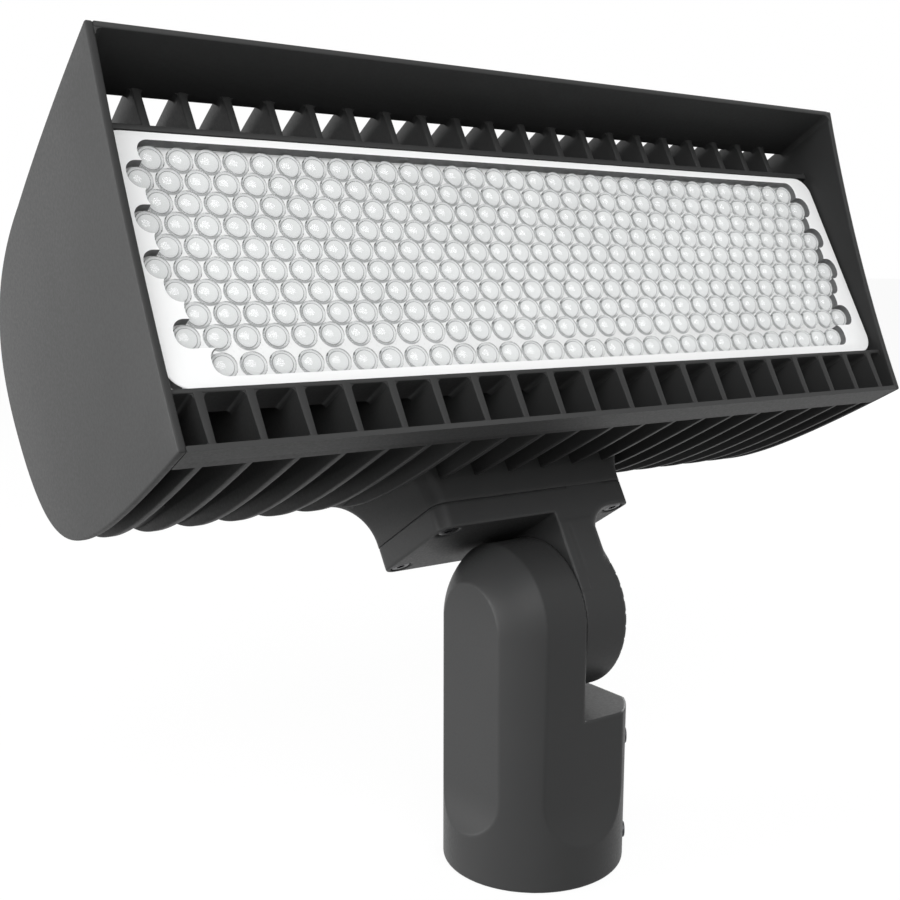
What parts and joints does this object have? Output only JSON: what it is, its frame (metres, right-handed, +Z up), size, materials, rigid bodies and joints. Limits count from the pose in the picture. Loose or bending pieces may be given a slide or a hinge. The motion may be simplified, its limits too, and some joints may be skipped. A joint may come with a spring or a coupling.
{
  "type": "floodlight",
  "caption": "Outdoor LED floodlight: finned wedge-shaped head with a visor and lens array, on an adjustable knuckle and slip fitter for a post tenon.",
  "frame": {"origin": "centre of the slip fitter's bottom mouth, where the tenon goes in", "axes": "+Z up along the tenon, the light leaves toward -Y, +X along the width of the head"},
  "size_m": [0.34, 0.1722, 0.3211],
  "materials": {
    "charcoal_casting": "charcoal powder coat on die-cast aluminium",
    "charcoal_post": "charcoal powder coat on die-cast aluminium, a little smoother",
    "black_steel": "black oxide",
    "bright_steel": "stainless",
    "seal": "moulded silicone",
    "white_frame": "white, smooth",
    "clear_optic": "clear moulded acrylic",
    "board": "white solder mask on an aluminium core",
    "driver_case": "potted driver can",
    "terminal_plastic": "moulded"
  },
  "bodies": {
    "post_fitter": {"slip_fitter": "charcoal_post", "set_screw_1": "black_steel", "set_screw_2": "black_steel", "set_screw_3": "black_steel", "set_screw_4": "black_steel"},
    "lamp_head": {"knuckle_arm": "charcoal_post", "heatsink_housing": "charcoal_casting", "side_panel_left": "charcoal_casting", "side_panel_right": "charcoal_casting", "visor": "charcoal_casting", "rear_cover": "charcoal_casting", "pivot_washer": "bright_steel", "pivot_lock_washer": "bright_steel", "pivot_bolt": "bright_steel", "flange_gasket": "seal", "lens_gasket": "seal", "rear_cover_gasket": "seal", "led_board_left": "board", "led_board_right": "board", "optic_array": "clear_optic", "reflector_frame": "white_frame", "driver_bracket": "bright_steel", "led_driver": "driver_case", "terminal_block": "terminal_plastic", "driver_screw_1": "bright_steel", "driver_screw_2": "bright_steel", "flange_screw_1": "black_steel", "flange_screw_2": "black_steel", "flange_screw_3": "black_steel", "flange_screw_4": "black_steel", "rear_cover_screw_1": "black_steel", "rear_cover_screw_2": "black_steel", "rear_cover_screw_3": "black_steel", "rear_cover_screw_4": "black_steel", "rear_cover_screw_5": "black_steel", "rear_cover_screw_6": "black_steel"}
  },
  "joints": [
    {"name": "head_tilt", "type": "hinge", "parent": "post_fitter", "child": "lamp_head", "pos_m": [0, 0, 0.1098], "axis": [1, 0, 0], "range_deg": [-59, 121]}
  ]
}
